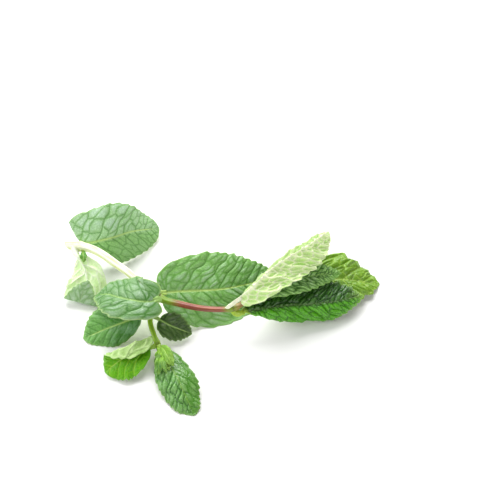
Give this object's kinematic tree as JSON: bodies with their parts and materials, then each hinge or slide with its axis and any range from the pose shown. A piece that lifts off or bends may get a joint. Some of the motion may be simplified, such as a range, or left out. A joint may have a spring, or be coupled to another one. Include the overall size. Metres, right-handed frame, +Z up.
{
  "type": "mint sprig",
  "caption": "Cut sprig of garden mint lying flat: a square stem with a side shoot and saw-toothed, quilted leaves in opposite pairs, used as a fresh herb or garnish.",
  "frame": {"origin": "on the table surface, under the middle of the sprig's box", "axes": "+X along the stem from its cut end to its growing tip, +Y towards the back, +Z up from the table"},
  "size_m": [0.1296, 0.0954, 0.0258],
  "materials": {
    "stem": "smooth and slightly waxy, pale yellow-green with a red stretch",
    "leaf_dark": "upper side of a grown leaf, quilted, with a soft sheen",
    "leaf_pale": "leaf that shows its pale, netted underside",
    "leaf_young": "young, thin, yellow-green leaf"
  },
  "bodies": {
    "root": {"stem": "stem", "side_stem": "stem", "tip_bud": "leaf_young", "side_tip_bud": "leaf_young", "leaf_1_back": "leaf_dark", "leaf_1_front": "leaf_pale", "leaf_2_top": "leaf_dark", "leaf_2_under": "leaf_dark", "leaf_3_back": "leaf_pale", "leaf_3_front": "leaf_dark", "leaf_4_right": "leaf_dark", "leaf_4_back": "leaf_young", "side_leaf_1_left": "leaf_dark", "side_leaf_1_right": "leaf_young", "side_leaf_2_left": "leaf_young", "side_leaf_2_front": "leaf_dark"}
  },
  "joints": []
}
